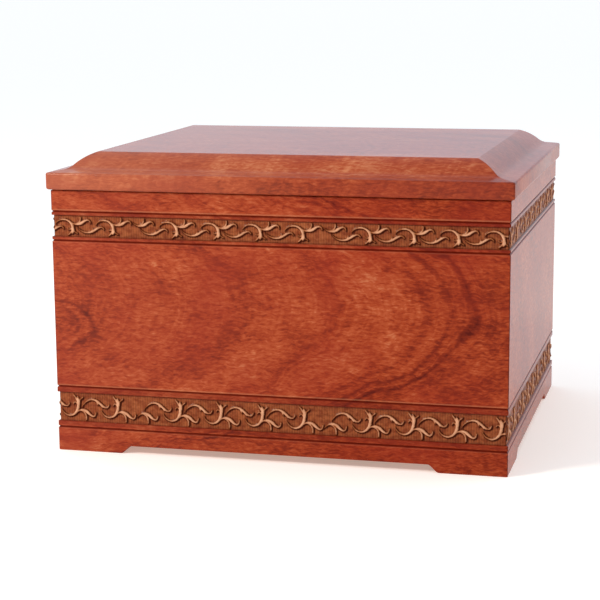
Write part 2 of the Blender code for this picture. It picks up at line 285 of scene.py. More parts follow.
# Stained cherry under a sprayed satin lacquer: red-brown flat-sawn figure that glares white at a low angle,
# with a pinkish painted sheen toward one end where asked. Where it is carved, tan scrolls with painted
# highlights on their tops lie over a dull brown ground with dark glaze and painted shadow round their feet.
def makeCherry(name, turn, shift, hearts, cloud=0.5, carved=False, paintedSheen=None):
    material = bpy.data.materials.new(name)
    material.use_nodes = True
    tree = material.node_tree
    shader = tree.nodes["Principled BSDF"]
    stain = cherryStain
    objectPlace = addNode(tree, "ShaderNodeTexCoord").outputs["Object"]
    # Millimetres in the board's own lie, with X along the grain
    place = addNode(tree, "ShaderNodeMapping", {
        "Vector": objectPlace, "Location": shift,
        "Rotation": (0, 0, -math.radians(turn)), "Scale": (1000,) * 3,
    })

    tone, fibre, streak, mottle = layFigure(tree, place, hearts, cloud)
    colour = addNode(tree, "ShaderNodeValToRGB", (tone,), stops=[
        (0.15, stain["darkest"]), (0.36, stain["dark"]), (0.50, stain["middle"]),
        (0.64, stain["light"]), (0.84, stain["lightest"]),
    ])
    reddening = addNode(
        tree, "ShaderNodeTexNoise", {"Vector": place, "Scale": 1 / stain["redPatch"], "Detail": 2.0},
    )
    reddening = addNode(tree, "ShaderNodeMapRange", (reddening, 0.42, 0.66, 0.0, stain["redShare"]))
    redCast = linear(stain["redCast"])
    colour = addNode(tree, "ShaderNodeMix", {0: reddening, 6: colour, 7: redCast}, data_type="RGBA")
    # Painted sheen: a pinkish cast toward one end stands for the lacquer's glare there
    if paintedSheen:
        lengthwise = addNode(tree, "ShaderNodeSeparateXYZ", (objectPlace,)).outputs["X"]
        pale = addNode(tree, "ShaderNodeMapRange", (lengthwise, *paintedSheen["reach"], *paintedSheen["shares"]))
        sheenColour = linear(paintedSheen["colour"])
        colour = addNode(tree, "ShaderNodeMix", {0: pale, 6: colour, 7: sheenColour}, data_type="RGBA")

    if carved:
        colour, coat = glazeAndShadeBand(tree, colour, mottle)
        tree.links.new(coat.outputs[0], shader.inputs["Coat Weight"])
    roughness = addNode(
        tree, "ShaderNodeMath", (fibre, stain["fibreRoughness"], stain["roughness"]),
        operation="MULTIPLY_ADD",
    )
    height = addNode(tree, "ShaderNodeMath", (streak, 0.5, fibre), operation="MULTIPLY_ADD")
    bump = addNode(
        tree, "ShaderNodeBump",
        {"Height": height, "Distance": stain["poreDepth"], "Strength": stain["poreStrength"]},
    )
    tree.links.new(colour.outputs[2], shader.inputs["Base Color"])
    tree.links.new(roughness.outputs[0], shader.inputs["Roughness"])
    tree.links.new(bump.outputs[0], shader.inputs["Normal"])
    shader.inputs["Coat Weight"].default_value = stain["coat"]
    shader.inputs["Coat Roughness"].default_value = stain["coatRoughness"]
    shader.inputs["Coat IOR"].default_value = stain["coatIor"]
    shader.inputs["Specular IOR Level"].default_value = stain["specular"]
    return material


# Stroke shapes of the scroll. A path is a chain of Bezier points: millimetres along the band from the
# crown's foot, and shares of the pattern's height. Widths, in millimetres, are evenly spaced along it.
scrollStrokes = {
    "crown": [
        {"path": [(-10.3, -.10), (-8.7, -.43), (-2.7, -.50), (-.8, -.08), (-.15, .10), (.25, .24),
                  (-.6, .41)],
         "widths": [.8, 1.1, 1.35, 1.8, 1.9, 2.2, 1.1]},
        {"path": [(0, .14), (-.9, .30), (-1.8, .40), (-3.0, .50)], "widths": [1.4, 1.3, 1.2, 1.0]},
        {"path": [(.1, -.04), (-.8, .18), (-2.2, .28), (-3.2, .13)], "widths": [1.1, 1.0, .95, .9]},
        {"path": [(-.3, .22), (.4, .28), (1.1, .34), (2.4, .41)], "widths": [1.0, .8, .9, 1.0]},
    ],
    "arc": [
        {"path": [(1.6, 0), (4.6, .37), (8.6, .42), (11.6, .24), (14.0, .09), (16.5, -.12),
                  (17.7, .16)],
         "widths": [.6, 1.05, 1.3, 1.7, 1.5, 1.1, .95]},
        {"path": [(10.4, .32), (10.6, .22), (10.9, .16), (11.3, .10)], "widths": [.6, 1.0, 1.0, .7]},
        {"path": [(12.6, .20), (13.0, .12), (13.4, .06), (13.8, .01)], "widths": [.6, 1.0, 1.0, .7]},
    ],
    "leaf": [
        {"path": [(-2.3, -.31), (.4, -.06), (3.2, -.06), (5.2, -.21), (7.2, -.36), (9.4, -.48),
                  (9.9, -.19)],
         "widths": [.6, 1.05, 1.5, 2.0, 1.5, 1.1, .95]},
        {"path": [(1.0, -.15), (2.8, -.17), (4.7, -.26), (4.2, -.53)], "widths": [.7, 1.1, 1.2, 1.0]},
    ],
}

scrollRow = {
    "pitch": 23.2 * mm,
    "inGroup": 4,
    "groupPeriod": 105.6 * mm,
    "groups": 4,
    "frontPhase": -53.5 * mm,
    "sidePhase": -42.0 * mm,
    "relief": 0.92 * mm,
    "fullWidth": 1.3 * mm,      # a stroke this wide reaches the whole relief
    "endEase": 0.7 * mm,
    "profileSides": 24,
    "shadowShift": (-0.55 * mm, 0, 0.45 * mm),    # painted shadow lies on the lower right of each stroke, as if lit from the upper left
    "shadowShare": 0.75,
    "footShare": 0.30,
    "markShare": 0.17,      # and a little glaze and painted shade in the tool marks' troughs
    "hatchColumns": 4,      # columns of the board's grid from one tool mark to the next
    "hatchDepth": 0.16 * mm,
    "hatchFrom": 0.95 * mm,     # tool marks only on the flat of the ground
    "faceDepth": 2.0 * mm,      # what lies deeper is the board's inside
    "rayReach": 5.0 * mm,
}


def bezierPoint(path, share):
    cubics = (len(path) - 1) // 3
    index = min(int(share * cubics), cubics - 1)
    points = [Vector(point) for point in path[3 * index:3 * index + 4]]
    t = share * cubics - index
    while len(points) > 1:
        points = [a.lerp(b, t) for a, b in zip(points, points[1:])]
    return points[0]


def widthAt(widths, share):
    position = share * (len(widths) - 1)
    index = min(int(position), len(widths) - 2)
    return widths[index] + (widths[index + 1] - widths[index]) * (position - index)


# Curve object of one kind of stroke, each spline's radius half the stroke's width and its ends rounded off
def drawStrokes(name, strokes, patternHeight, turned, widthShare):
    curve = bpy.data.curves.new(name, "CURVE")
    curve.dimensions = "3D"
    for stroke in strokes:
        path = [(x * mm, h * patternHeight) for x, h in stroke["path"]]
        steps = 8 * (len(path) - 1) // 2
        points = []
        for step in range(steps + 1):
            share = step / steps
            radius = widthAt(stroke["widths"], share) * mm * widthShare / 2
            points.append((bezierPoint(path, share), radius))
        for end, inner in ((0, 1), (-1, -2)):
            tip, radius = points[end]
            outward = (tip - points[inner][0]).normalized()
            for angle in (30, 60, 85):
                turn = math.radians(angle)
                cap = (tip + outward * radius * math.sin(turn), radius * math.cos(turn))
                if end == 0:
                    points.insert(0, cap)
                else:
                    points.append(cap)
        spline = curve.splines.new("POLY")
        spline.points.add(len(points) - 1)
        for point, (middle, radius) in zip(spline.points, points):
            point.co = (middle.x, 0, turned * middle.y, 1)
            point.radius = radius
    drawn = bpy.data.objects.new(name, curve)
    bpy.context.scene.collection.objects.link(drawn)
    return drawn


# Sets the strokes at their places along the band and sweeps them into rods
def sweepScrolls(tree, given):
    # Places of the scrolls: each group has one more place than it has scrolls
    index = addNode(tree, "GeometryNodeInputIndex")
    perGroup = addNode(tree, "ShaderNodeMath", (given["Scrolls in group"], 1.0), operation="ADD")
    group = addNode(tree, "ShaderNodeMath", (index, perGroup), operation="DIVIDE")
    group = addNode(tree, "ShaderNodeMath", (group,), operation="FLOOR")
    inGroup = addNode(tree, "ShaderNodeMath", (index, perGroup), operation="MODULO")
    x = addNode(
        tree, "ShaderNodeMath", (group, given["Group period"], given["First scroll"]),
        operation="MULTIPLY_ADD",
    )
    x = addNode(tree, "ShaderNodeMath", (inGroup, given["Pitch"], x), operation="MULTIPLY_ADD")
    where = addNode(tree, "ShaderNodeCombineXYZ", {"X": x, "Z": given["Band middle"]})
    count = addNode(tree, "ShaderNodeMath", (perGroup, given["Groups"]), operation="MULTIPLY")
    line = addNode(tree, "GeometryNodeMeshLine", {"Count": count})
    placed = addNode(tree, "GeometryNodeSetPosition", {"Geometry": line, "Position": where})

    # Every place has a leaf, every scroll but a group's last has an arc, and all but its first a crown
    lastScroll = addNode(tree, "ShaderNodeMath", (given["Scrolls in group"], 0.5), operation="SUBTRACT")
    chosen = {
        "Crown strokes": addNode(tree, "ShaderNodeMath", (inGroup, 0.5), operation="GREATER_THAN"),
        "Arc strokes": addNode(tree, "ShaderNodeMath", (inGroup, lastScroll), operation="LESS_THAN"),
        "Leaf strokes": True,
    }
    joined = addNode(tree, "GeometryNodeJoinGeometry")
    for strokes, selection in chosen.items():
        drawn = addNode(tree, "GeometryNodeObjectInfo", {"Object": given[strokes]}).outputs["Geometry"]
        copies = addNode(
            tree, "GeometryNodeInstanceOnPoints",
            {"Points": placed, "Instance": drawn, "Selection": selection},
        )
        tree.links.new(copies.outputs[0], joined.inputs[0])
    paths = addNode(tree, "GeometryNodeRealizeInstances", (joined,))
    sides = scrollRow["profileSides"]
    profile = addNode(tree, "GeometryNodeCurvePrimitiveCircle", {"Resolution": sides, "Radius": 1.0})
    radius = addNode(tree, "GeometryNodeInputRadius")
    swept = addNode(
        tree, "GeometryNodeCurveToMesh", {"Curve": paths, "Profile Curve": profile, "Scale": radius},
    )
    return swept


# How far the rods stand out at each point of the board, how much glaze and painted shadow lies there, the
# tool marks' wave and the ease towards the mitres
def traceScrolls(tree, given, swept, here, inBand):
    # Rays from in front of the face meet the rods, and rays set a little aside find where painted shadow
    # falls
    reach = scrollRow["rayReach"]
    source = addNode(tree, "ShaderNodeCombineXYZ", {"X": here["X"], "Y": -reach, "Z": here["Z"]})
    aside = addNode(tree, "ShaderNodeVectorMath", (source, scrollRow["shadowShift"]), operation="ADD")
    ray, shadowRay = (
        addNode(tree, "GeometryNodeRaycast", {
            "Target Geometry": swept, "Source Position": start,
            "Ray Direction": (0, 1, 0), "Ray Length": reach,
        })
        for start in (source, aside)
    )
    hitY = addNode(tree, "ShaderNodeSeparateXYZ", (ray.outputs["Hit Position"],)).outputs["Y"]
    fullReach = addNode(tree, "ShaderNodeMath", (given["Full width"], -0.5), operation="MULTIPLY")
    swell = addNode(tree, "ShaderNodeMapRange", (hitY, 0.0, fullReach, 0.0, 1.0))
    swell = addNode(tree, "ShaderNodeMath", (swell, 0.5), operation="POWER")
    swell = addNode(tree, "ShaderNodeMath", (swell, ray.outputs["Is Hit"]), operation="MULTIPLY")
    toMiddle = addNode(tree, "ShaderNodeMath", (here["X"],), operation="ABSOLUTE")
    toEnd = addNode(tree, "ShaderNodeMath", (given["Half length"], toMiddle), operation="SUBTRACT")
    ease = addNode(tree, "ShaderNodeMapRange", (toEnd, 0.0, given["End ease"], 0.0, 1.0))
    easeUp = addNode(tree, "ShaderNodeMath", (ease, 0.5), operation="POWER")
    swell = addNode(tree, "ShaderNodeMath", (swell, easeUp), operation="MULTIPLY")
    swell = addNode(tree, "ShaderNodeMath", (swell, inBand), operation="MULTIPLY")
    smoothed = addNode(tree, "GeometryNodeBlurAttribute", (swell, 1, 0.35), data_type="FLOAT")
    turns = addNode(tree, "ShaderNodeMath", (here["X"], given["Hatch pitch"]), operation="DIVIDE")
    turns = addNode(tree, "ShaderNodeMath", (turns, 2 * math.pi), operation="MULTIPLY")
    wave = addNode(tree, "ShaderNodeMath", (turns,), operation="COSINE")
    # Painted shadow where a stroke lies up and to the left, and glaze round each stroke's foot
    glazeAndShadow = addNode(
        tree, "ShaderNodeMath", (shadowRay.outputs["Is Hit"], scrollRow["shadowShare"]), operation="MULTIPLY",
    )
    glazeAndShadow = addNode(tree, "ShaderNodeMath", (swell, scrollRow["footShare"], glazeAndShadow), operation="MULTIPLY_ADD")
    glazeAndShadow = addNode(tree, "GeometryNodeBlurAttribute", (glazeAndShadow, 3, 1.0), data_type="FLOAT")
    # A little painted shade in the troughs of the tool marks
    marks = addNode(tree, "ShaderNodeMapRange", (wave, -1.0, 1.0, scrollRow["markShare"], 0.0))
    glazeAndShadow = addNode(tree, "ShaderNodeMath", (glazeAndShadow, marks), operation="ADD")
    return smoothed, glazeAndShadow, wave, ease


# Geometry Nodes tree: carves one band by raising the board's grid to the scrolls laid along it
def makeCarvingTree():
    tree = bpy.data.node_groups.new("Carved scroll band", "GeometryNodeTree")
    inputs = {
        "Geometry": ["Board"],
        "Object": ["Crown strokes", "Arc strokes", "Leaf strokes"],
        "Int": ["Scrolls in group", "Groups"],
        "Float": [
            "Pitch", "Group period", "First scroll", "Band middle", "Ground height", "Relief", "Full width",
            "Half length", "End ease", "Hatch pitch", "Hatch depth",
        ],
        "Material": ["Wood"],
    }
    for kind, names in inputs.items():
        for name in names:
            tree.interface.new_socket(name, in_out="INPUT", socket_type="NodeSocket" + kind)
    tree.interface.new_socket("Carved board", in_out="OUTPUT", socket_type="NodeSocketGeometry")
    given = addNode(tree, "NodeGroupInput").outputs

    swept = sweepScrolls(tree, given)

    # Part of the board that this band covers
    position = addNode(tree, "GeometryNodeInputPosition")
    here = addNode(tree, "ShaderNodeSeparateXYZ", (position,)).outputs
    fromMiddle = addNode(tree, "ShaderNodeMath", (here["Z"], given["Band middle"]), operation="SUBTRACT")
    fromMiddle = addNode(tree, "ShaderNodeMath", (fromMiddle,), operation="ABSOLUTE")
    halfHeight = addNode(tree, "ShaderNodeMath", (given["Ground height"], 0.5), operation="MULTIPLY")
    inBand = addNode(tree, "ShaderNodeMath", (fromMiddle, halfHeight), operation="LESS_THAN")
    outerFace = addNode(tree, "ShaderNodeMath", (here["Y"], scrollRow["faceDepth"]), operation="LESS_THAN")
    inBand = addNode(tree, "ShaderNodeMath", (inBand, outerFace), operation="MULTIPLY")

    smoothed, glazeAndShadow, wave, ease = traceScrolls(tree, given, swept, here, inBand)
    stored = given["Board"]
    for attribute, value in (("scrollHeight", smoothed), ("scrollFoot", glazeAndShadow), ("bandGround", 1.0)):
        stored = addNode(
            tree, "GeometryNodeStoreNamedAttribute",
            {"Geometry": stored, "Selection": inBand, "Name": attribute, "Value": value},
            data_type="FLOAT", domain="POINT",
        )

    # Upright tool marks on the bare ground, easing out towards the mitres
    kept = addNode(tree, "GeometryNodeInputNamedAttribute", {"Name": "scrollHeight"}, data_type="FLOAT")
    hatch = addNode(tree, "ShaderNodeMapRange", (wave, -1.0, 1.0, 0.0, given["Hatch depth"]))
    bare = addNode(tree, "ShaderNodeMapRange", (kept, 0.0, 0.25, 1.0, 0.0))
    inset = addNode(tree, "ShaderNodeMath", (here["Y"], scrollRow["hatchFrom"]), operation="GREATER_THAN")
    for share in (bare, inset, ease):
        hatch = addNode(tree, "ShaderNodeMath", (hatch, share), operation="MULTIPLY")
    rise = addNode(tree, "ShaderNodeMath", (kept, given["Relief"], hatch), operation="MULTIPLY_ADD")
    outward = addNode(tree, "ShaderNodeMath", (rise, -1.0), operation="MULTIPLY")
    offset = addNode(tree, "ShaderNodeCombineXYZ", {"Y": outward})
    raised = addNode(
        tree, "GeometryNodeSetPosition", {"Geometry": stored, "Selection": inBand, "Offset": offset},
    )
    whole = addNode(tree, "GeometryNodeRealizeInstances", (raised,))
    wooden = addNode(tree, "GeometryNodeSetMaterial", {"Geometry": whole, "Material": given["Wood"]})
    addNode(tree, "NodeGroupOutput", (wooden,))
    return tree


# The boards

boardForm = {
    "footLength": 36.2 * mm,
    "archHeight": 4.3 * mm,
    "archSlope": 6.4 * mm,
    "cornerRound": 0.6 * mm,
    "edgeRound": 0.5 * mm,
    "columnWidth": 0.3455 * mm,
    "rowHeight": 0.40 * mm,
    "groundDepth": 1.0 * mm,
    "wallEase": 0.10 * mm,
    "grooveWidth": 1.3 * mm,
    "grooveLip": 0.08 * mm,
    "grooveShoulder": 0.10 * mm,
    "stripDarker": 0.32,     # the flat between a groove and the ground is drawn darker
    "lipRubbedAndHighlit": 0.38,
    "panelTongue": 6.0 * mm,
    "pieceGap": 0.3 * mm,
    "mitreZone": 30 * mm,   # columns draw together here, so that each row ends at its own mitre
    "footZone": 12 * mm,    # rows are lifted below this, so that they follow the arch
}
lowerBand = {
    "groundBottom": 16.7 * mm, "groundHeight": 16.5 * mm, "scrollMargin": 1.5 * mm,
    "grooveOffset": 3.2 * mm, "turned": 1, "widthShare": 0.92,
}
upperBand = {
    "groundBottom": boardHeight - (13.6 + 11.8) * mm, "groundHeight": 11.8 * mm, "scrollMargin": 1.05 * mm,
    "grooveOffset": 2.0 * mm, "turned": -1, "widthShare": 0.84,
}


# Rows of the outer face from the foot up: height, depth in from the face, whether its edge is sharp,
# and how much darker it is drawn: darker strips, painted shade in the grooves and along the ground's walls,
# and less than nothing where a groove's lip has a painted highlight over rubbed-through stain
def outerRows():
    form = boardForm
    rows = []

    def groove(z, inward):
        half = form["grooveWidth"] / 2
        lip, slope, shoulder = form["grooveLip"], 0.06 * mm, form["grooveShoulder"]
        strip, rubbedAndHighlit = form["stripDarker"], form["lipRubbedAndHighlit"]
        below, above = (strip, 0.0) if inward < 0 else (0.0, strip)
        # Painted shade in the groove, darkest at its bottom, and painted highlights on its lips
        rows.extend([
            (z - half - 0.5 * mm, 0, False, below), (z - half - lip, 0, True, below - rubbedAndHighlit / 2),
            (z - half + slope, shoulder, False, 0.5), (z, half, True, 1.0),
            (z + half - slope, shoulder, False, 0.3), (z + half + lip, 0, True, above - rubbedAndHighlit),
            (z + half + 0.5 * mm, 0, False, above - rubbedAndHighlit / 2), (z + half + 0.9 * mm, 0, False, above),
        ])

    def ground(band):
        ease, depth = form["wallEase"], form["groundDepth"]
        strip = form["stripDarker"]
        bottom = band["groundBottom"]
        top = bottom + band["groundHeight"]
        low, high = bottom + band["scrollMargin"] - 0.3 * mm, top - band["scrollMargin"] + 0.3 * mm
        steps = round((high - low) / form["rowHeight"])
        # Painted shade at the foot of the ground's walls, darker under its top wall
        rows.extend([
            (bottom - ease, 0, True, strip), (bottom, ease, False, 0.3), (bottom, depth - ease, False, 0.6),
            (bottom + ease, depth, True, 0.5), (bottom + 0.7 * mm, depth, False, 0.1),
        ])
        rows.extend([(low + (high - low) * i / steps, depth, False, 0.0) for i in range(steps + 1)])
        rows.extend([
            (top - 0.6 * mm, depth, False, 0.35), (top - ease, depth, True, 0.9),
            (top, depth - ease, False, 0.9), (top, ease, False, 0.6),
            (top + ease, 0, True, strip + 0.15), (top + 0.5 * mm, 0, False, strip),
        ])

    edge = form["edgeRound"]
    quarter = [math.radians(angle) for angle in (0, 30, 60, 90)]
    for turn in reversed(quarter):
        rows.append((edge * (1 - math.sin(turn)), edge * (1 - math.cos(turn)), turn == 0, 0.0))
    rows.append((8.5 * mm, 0, False, 0.0))
    for band in (lowerBand, upperBand):
        bottom = band["groundBottom"]
        top = bottom + band["groundHeight"]
        groove(bottom - band["grooveOffset"], 1)
        ground(band)
        groove(top + band["grooveOffset"], -1)
        if band is lowerBand:
            rows.extend([(60 * mm, 0, False, 0.0), (90 * mm, 0, False, 0.0)])
    for turn in quarter:
        z = boardHeight - edge * (1 - math.sin(turn))
        rows.append((z, edge * (1 - math.cos(turn)), turn == 0, 0.0))
    return rows


def archHeightAt(x, halfLength):
    form = boardForm
    share = (halfLength - form["footLength"] - abs(x)) / form["archSlope"]
    share = min(max(share, 0), 1)
    return form["archHeight"] * (1 - math.cos(math.pi * share)) / 2


# One mitred board, lofted along its length with its outer face on y = 0, facing -Y
def buildBoardGrid(name, boardLength):
    form = boardForm
    half = boardLength / 2
    outer = half - mitreGap
    corner = form["cornerRound"]
    lastAngle = math.pi / 4 - math.asin(form["pieceGap"] / (2 * corner))
    straight = half - form["mitreZone"]
    flat = 2 * (half - corner)
    flatCount = round(flat / form["columnWidth"] / 2) * 2
    arcs = [lastAngle * i / 4 for i in range(1, 5)]
    columns = [(-(half - corner), -angle) for angle in reversed(arcs)]
    columns += [(-half + corner + flat * i / flatCount, 0.0) for i in range(flatCount + 1)]
    columns += [(half - corner, angle) for angle in arcs]

    inside = boardThickness
    groove = inside - form["panelTongue"] - form["pieceGap"]
    grooveLow, grooveHigh = panelLow.z - form["pieceGap"], panelHigh.z + form["pieceGap"]
    outerFaceRows = outerRows()
    innerRows = [
        (boardHeight, inside), (grooveHigh, inside), (grooveHigh, groove),
        (grooveLow, groove), (grooveLow, inside), (0.0, inside),
    ]
    rows = outerFaceRows + [(z, depth, True, 0.0) for z, depth in innerRows]
    footZone = form["footZone"]

    def place(column, index):
        x, angle = column
        z, depth = rows[index][:2]
        onFace = index < len(outerFaceRows)
        side = math.copysign(1.0, x)
        flatEnd = half - corner - depth if onFace else outer - depth - corner * math.sin(lastAngle)
        reach = abs(x)
        if reach > straight:
            reach = straight + (reach - straight) * (flatEnd - straight) / (half - corner - straight)
        reach += corner * math.sin(abs(angle))
        if onFace:
            depth += corner * (1 - math.cos(abs(angle)))
        lift = archHeightAt(reach, half)
        if z < footZone and (onFace or z == 0.0):
            z = lift + z * (footZone - lift) / footZone
        return (side * reach, depth, z)

    verts = [place(column, index) for column in columns for index in range(len(rows))]
    count = len(rows)
    faces = []
    for j in range(len(columns) - 1):
        for i in range(count):
            k = (i + 1) % count
            faces.append((j * count + i, (j + 1) * count + i, (j + 1) * count + k, j * count + k))
    faces.append(tuple(range(count)))
    faces.append(tuple(reversed(range((len(columns) - 1) * count, len(columns) * count))))
    mesh = bpy.data.meshes.new(name)
    mesh.from_pydata(verts, [], faces)
    mesh.validate()
    mesh.polygons.foreach_set("use_smooth", [True] * len(mesh.polygons))
    sharpRows = {i for i, row in enumerate(rows) if row[2]}
    endColumns = {0, 4, len(columns) - 5, len(columns) - 1}
    sharpEdges = []
    for edge in mesh.edges:
        a, b = edge.vertices
        rowA, rowB = a % count, b % count
        columnA, columnB = a // count, b // count
        alongRow = rowA == rowB and rowA in sharpRows
        upEnd = columnA == columnB and columnA in endColumns
        sharpEdges.append(alongRow or upEnd)
    mesh.attributes.new("sharp_edge", "BOOLEAN", "EDGE").data.foreach_set("value", sharpEdges)
    for attribute in ("scrollHeight", "scrollFoot", "bandGround"):
        mesh.attributes.new(attribute, "FLOAT", "POINT")
    glazeAndShade = [row[3] for row in rows] * len(columns)
    mesh.attributes.new("glazeAndShade", "FLOAT", "POINT").data.foreach_set("value", glazeAndShade)
    board = bpy.data.objects.new(name, mesh)
    bpy.context.scene.collection.objects.link(board)
    return board


def setInputs(modifier, tree, values):
    for item in tree.interface.items_tree:
        if item.item_type == "SOCKET" and item.in_out == "INPUT" and item.name in values:
            modifier[item.identifier] = values[item.name]


def carveBoard(board, boardLength, phase, carvingTree, strokes, wood):
    hatchPitch = scrollRow["hatchColumns"] * boardForm["columnWidth"]
    for band in (lowerBand, upperBand):
        modifier = board.modifiers.new("carving", "NODES")
        modifier.node_group = carvingTree
        crown, arc, leaf = strokes[band["turned"]]
        groupsBefore = 1 + math.floor((boardLength / 2 + phase) / scrollRow["groupPeriod"])
        setInputs(modifier, carvingTree, {
            "Crown strokes": crown, "Arc strokes": arc, "Leaf strokes": leaf,
            "Pitch": scrollRow["pitch"], "Scrolls in group": scrollRow["inGroup"],
            "Group period": scrollRow["groupPeriod"], "Groups": scrollRow["groups"],
            "First scroll": phase - scrollRow["pitch"] - groupsBefore * scrollRow["groupPeriod"],
            "Band middle": band["groundBottom"] + band["groundHeight"] / 2,
            "Ground height": band["groundHeight"],
            "Relief": scrollRow["relief"], "Full width": scrollRow["fullWidth"],
            "Half length": boardLength / 2 - boardForm["groundDepth"], "End ease": scrollRow["endEase"],
            "Hatch pitch": hatchPitch, "Hatch depth": scrollRow["hatchDepth"], "Wood": wood,
        })
    evaluated = board.evaluated_get(bpy.context.evaluated_depsgraph_get())
    carved = bpy.data.meshes.new_from_object(evaluated)
    board.modifiers.clear()
    plain = board.data
    board.data = carved
    bpy.data.meshes.remove(plain)


def standBoard(board, turn, distance):
    stand = Matrix.Rotation(math.radians(turn), 4, "Z") @ Matrix.Translation((0, -distance, 0))
    board.data.transform(stand)


carvingTree = makeCarvingTree()
strokeSets = {}
for band in (lowerBand, upperBand):
    patternHeight = band["groundHeight"] - 2 * band["scrollMargin"]
    style = (patternHeight, band["turned"], band["widthShare"])
    strokeSets[band["turned"]] = [
        drawStrokes("strokes_" + kind, scrollStrokes[kind], *style) for kind in ("crown", "arc", "leaf")
    ]

# A faint pinkish painted sheen toward the front board's left end
frontPaintedSheen = {"reach": (-0.125, 0.05), "shares": (0.08, 0.0), "colour": "#B87060"}
for name, turn, phase, hearts, cloud, lift in (
    ("front", 0, scrollRow["frontPhase"], frontHearts, 0.40, 0),
    ("right", 90, scrollRow["sidePhase"], sideHearts, 0.20, 20),
    ("back", 180, scrollRow["frontPhase"], backHearts, 0.42, 0),
    ("left", 270, scrollRow["sidePhase"], sideHearts, 0.20, -25),
):
    facing = turn % 180 == 0
    boardLength = bodyWidth if facing else bodyDepth
    distance = bodyDepth / 2 if facing else bodyWidth / 2
    wood = makeCherry(
        "Stained cherry board, " + name, turn, (0, distance / mm, lift), hearts, cloud, carved=True,
        paintedSheen=frontPaintedSheen if name == "front" else None,
    )
    board = buildBoardGrid(name + "BoardCarved", boardLength)
    carveBoard(board, boardLength, phase, carvingTree, strokeSets, wood)
    standBoard(board, turn, distance)
    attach(board, "root")
    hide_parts(name + "_board")
    print("Carved the", name, "board:", len(board.data.polygons), "faces")

for strokes in strokeSets.values():
    for drawn in strokes:
        bpy.data.objects.remove(drawn)


# The lid

lidForm = {
    "overhang": 2.0 * mm,
    "edge": 9.3 * mm,
    "roundUnder": 1.2 * mm,
    "arris": 1.0 * mm,
    "ledgeWidth": 7.3 * mm,
    "ledgeRise": 1.0 * mm,
    "coveRadius": 8.0 * mm,
    "crestRise": 8.7 * mm,
    "steepest": math.radians(45),
    "crestAngle": math.radians(18),
    "locatingDepth": 3.0 * mm,
    "locatingClearance": 0.5 * mm,
    "locatingChamfer": 0.4 * mm,
    "slabCorner": 1.1 * mm,
    "crestCorner": 0.35 * mm,
    "cornerSteps": 5,
    "coveSteps": 8,
    "crestSteps": 16,
}


def turnedArc(start, radius, firstSlope, lastSlope, steps):
    points = []
    for step in range(1, steps + 1):
        slope = firstSlope + (lastSlope - firstSlope) * step / steps
        run = radius * abs(math.sin(slope) - math.sin(firstSlope))
        rise = radius * abs(math.cos(slope) - math.cos(firstSlope))
        points.append((start[0] + run, start[1] + rise))
    return points


# Inset from the slab's edge, height over the seat and corner radius, and whether the ring is a sharp edge
def lidRings():
    form = lidForm
    under, arris = form["roundUnder"], form["arris"]
    inset = form["overhang"] + boardThickness + form["locatingClearance"]
    slab, crest = form["slabCorner"], form["crestCorner"]
    chamfer, drop = form["locatingChamfer"], form["locatingDepth"]
    rings = [
        (inset + chamfer, -drop, slab, True), (inset, chamfer - drop, slab, True),
        (inset, 0.0, slab, True), (under, 0.0, slab, True),
    ]
    for angle in (22.5, 45, 67.5, 90):
        turn = math.radians(angle)
        rings.append((under * (1 - math.sin(turn)), under * (1 - math.cos(turn)), slab, angle == 90))
    top = form["edge"]
    for angle in (0, 30, 60, 90):
        turn = math.radians(angle)
        height = top - arris * (1 - math.sin(turn))
        rings.append((arris * (1 - math.cos(turn)), height, slab, angle in (0, 90)))
    ledgeEnd = (form["ledgeWidth"], top + form["ledgeRise"])
    rings.append((*ledgeEnd, crest, False))
    ledgeAngle = math.atan2(form["ledgeRise"], form["ledgeWidth"])
    cove = turnedArc(ledgeEnd, form["coveRadius"], ledgeAngle, form["steepest"], form["coveSteps"])
    climb = form["crestRise"] - (cove[-1][1] - ledgeEnd[1])
    crestRadius = climb / (math.cos(form["crestAngle"]) - math.cos(form["steepest"]))
    rise = turnedArc(cove[-1], crestRadius, form["steepest"], form["crestAngle"], form["crestSteps"])
    rings += [(*point, crest, False) for point in cove]
    rings += [(*point, crest, False) for point in rise[:-1]]
    rings.append((*rise[-1], crest, True))
    return rings


def buildLid():
    form = lidForm
    seat = lidHigh.z - (form["edge"] + form["ledgeRise"] + form["crestRise"])
    steps = form["cornerSteps"]
    verts, faces = [], []
    rings = lidRings()
    for inset, height, radius, sharp in rings:
        halfX = lidHigh.x - inset - radius
        halfY = lidHigh.y - inset - radius
        for corner, (sx, sy) in enumerate(((1, 1), (-1, 1), (-1, -1), (1, -1))):
            for step in range(steps + 1):
                angle = math.radians(90 * (corner + step / steps))
                x = sx * halfX + radius * math.cos(angle)
                y = sy * halfY + radius * math.sin(angle)
                verts.append((x, y, seat + height))
    count = 4 * (steps + 1)
    for ring in range(len(rings) - 1):
        low, high = ring * count, (ring + 1) * count
        for i in range(count):
            k = (i + 1) % count
            faces.append((low + i, low + k, high + k, high + i))
    faces.append(tuple(reversed(range(count))))
    faces.append(tuple(range((len(rings) - 1) * count, len(rings) * count)))
    mesh = bpy.data.meshes.new("mouldedLid")
    mesh.from_pydata(verts, [], faces)
    mesh.polygons.foreach_set("use_smooth", [True] * len(mesh.polygons))
    firstMoulding = 12      # the rings before it go round the slab
    sharpEdges = []
    for edge in mesh.edges:
        a, b = edge.vertices
        ringA, ringB = a // count, b // count
        alongRing = ringA == ringB and rings[ringA][3]
        arcEnd = (a % count) % (steps + 1) in (0, steps) and a % count == b % count
        sharpEdges.append(alongRing or (arcEnd and ringA >= firstMoulding))
    mesh.attributes.new("sharp_edge", "BOOLEAN", "EDGE").data.foreach_set("value", sharpEdges)
    lid = bpy.data.objects.new("mouldedLid", mesh)
    bpy.context.scene.collection.objects.link(lid)
    return lid


lid = buildLid()
